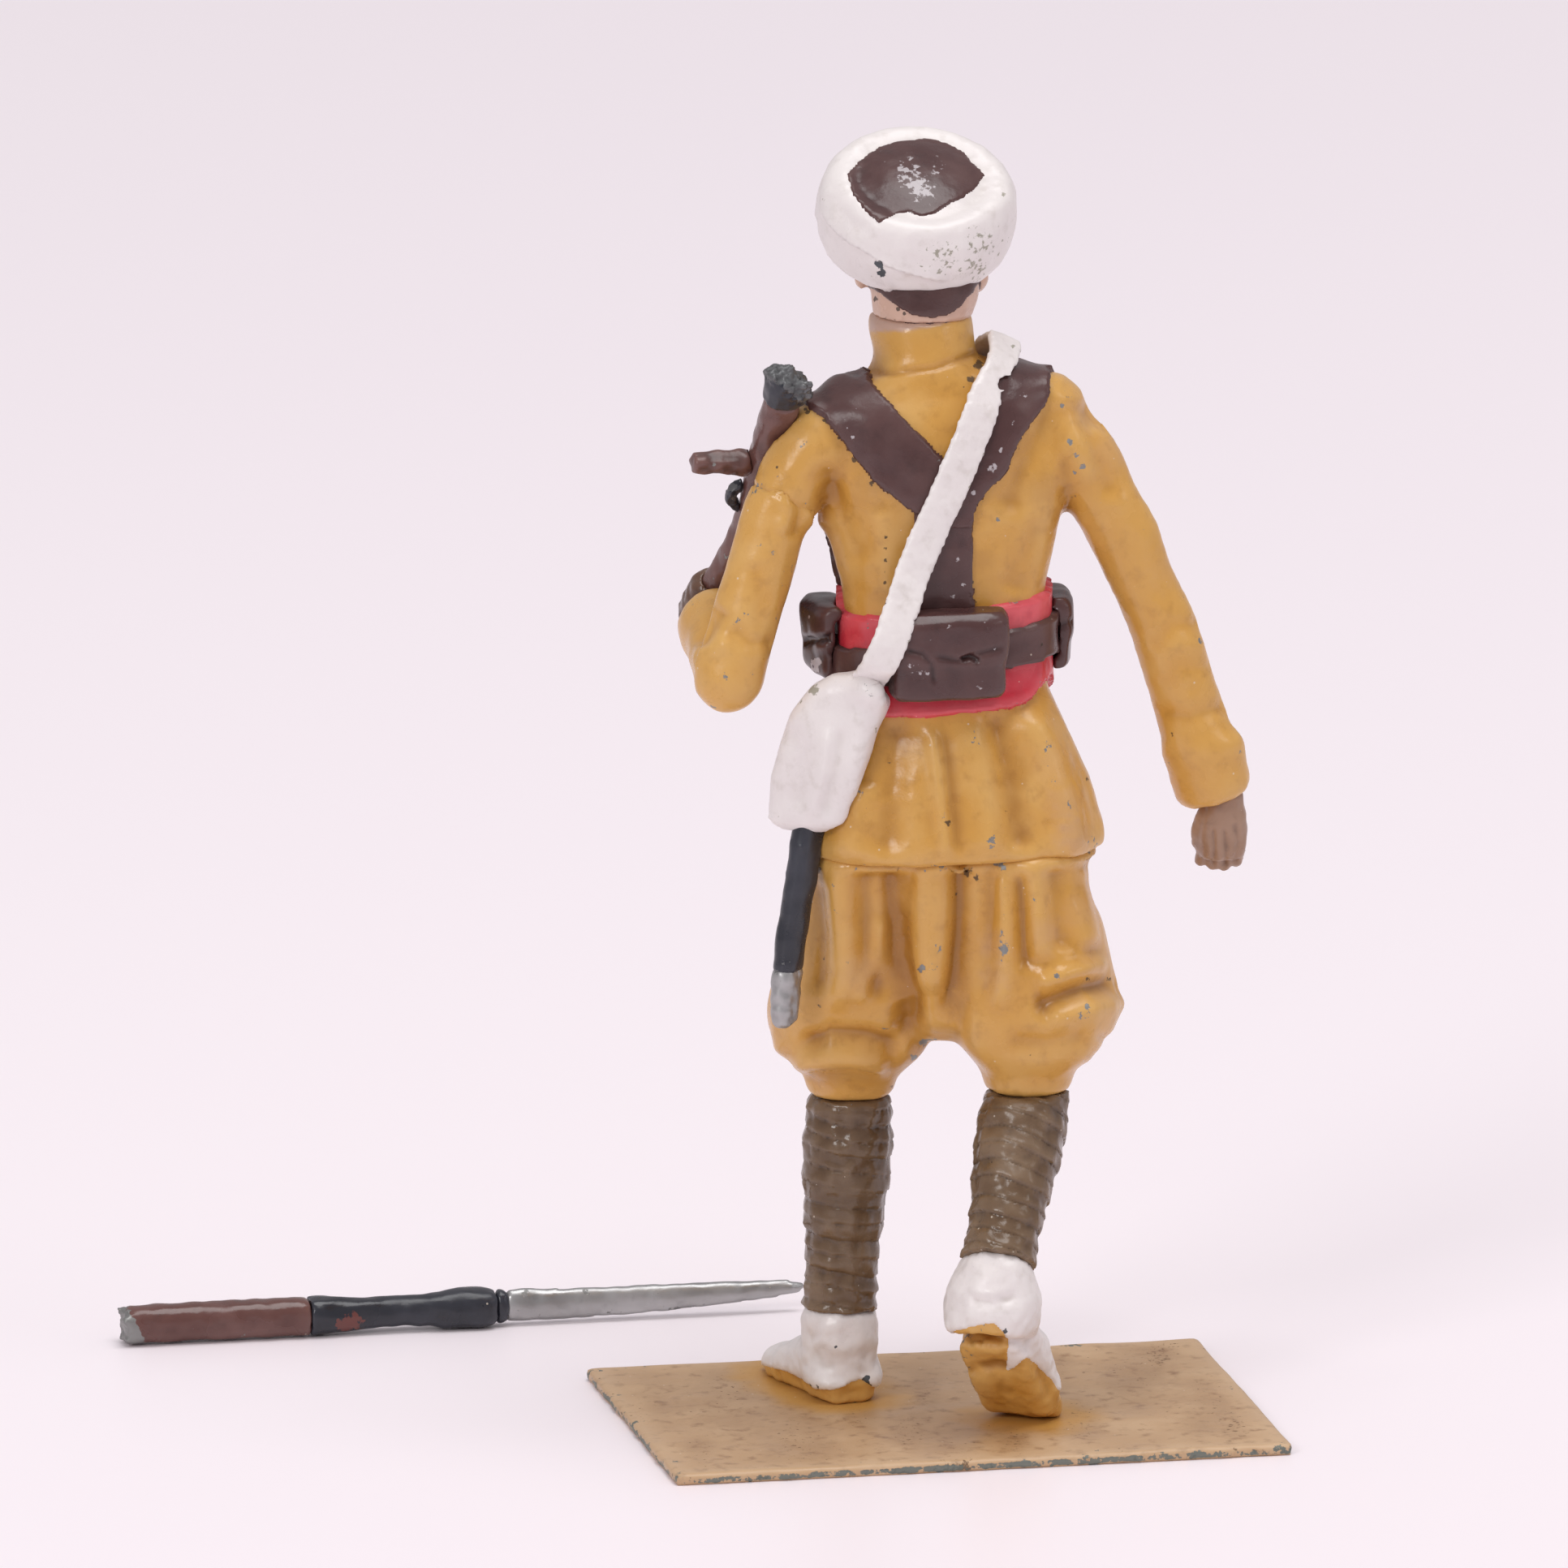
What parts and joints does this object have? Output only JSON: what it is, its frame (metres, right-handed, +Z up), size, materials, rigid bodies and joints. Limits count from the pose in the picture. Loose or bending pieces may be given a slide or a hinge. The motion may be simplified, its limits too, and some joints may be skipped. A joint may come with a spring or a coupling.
{
  "type": "toy soldier figure",
  "caption": "Painted cast-metal toy soldier marching on a thin rectangular base, in turban, tunic, baggy breeches and puttees, with haversack, pouches and a rifle snapped at the shoulder.",
  "frame": {"origin": "centre of the underside of the base plate", "axes": "+Z up through the figure; the figure faces -Y; +X is the figure's left side, where the rifle is"},
  "size_m": [0.0459, 0.0305, 0.056],
  "materials": {
    "tan_base_paint": "satin tan enamel, worn to grey metal at the edges",
    "ochre_paint": "glossy khaki ochre enamel",
    "white_paint": "glossy white enamel",
    "puttee_paint": "glossy grey-brown enamel",
    "flesh_paint": "satin brown flesh enamel",
    "hair_paint": "satin dark brown enamel",
    "leather_paint": "glossy purple-brown enamel",
    "red_paint": "glossy red enamel",
    "gunmetal_paint": "satin blue-black enamel",
    "silver_paint": "dull silver",
    "rifle_brown_paint": "glossy dark red-brown enamel"
  },
  "bodies": {
    "figure": {"base_plate": "tan_base_paint", "left_shoe": "ochre_paint", "right_shoe": "ochre_paint", "left_gaiter": "white_paint", "right_gaiter": "white_paint", "left_puttee": "puttee_paint", "right_puttee": "puttee_paint", "breeches": "ochre_paint", "tunic_skirt": "ochre_paint", "tunic_body": "ochre_paint", "left_sleeve": "ochre_paint", "right_sleeve": "ochre_paint", "left_hand": "flesh_paint", "right_hand": "flesh_paint", "head": "flesh_paint", "hair": "hair_paint", "turban": "white_paint", "turban_cap": "leather_paint", "cummerbund": "red_paint", "waist_belt": "leather_paint", "rear_pouch": "leather_paint", "left_pouch": "leather_paint", "right_pouch": "leather_paint", "left_brace": "leather_paint", "right_brace": "leather_paint", "back_strap": "leather_paint", "haversack": "white_paint", "haversack_strap": "white_paint", "scabbard": "gunmetal_paint", "scabbard_chape": "silver_paint", "rifle_stock": "rifle_brown_paint", "rifle_band": "gunmetal_paint", "rifle_magazine": "rifle_brown_paint", "trigger_guard": "gunmetal_paint"},
    "broken_rifle": {"fore_end": "rifle_brown_paint", "nose_cap": "gunmetal_paint", "bayonet_guard": "gunmetal_paint", "bayonet_blade": "silver_paint"}
  },
  "joints": [
    {"name": "broken_piece_lift", "type": "slide", "parent": "figure", "child": "broken_rifle", "axis": [0, 0, 1], "range_m": [0, 0.03]}
  ]
}
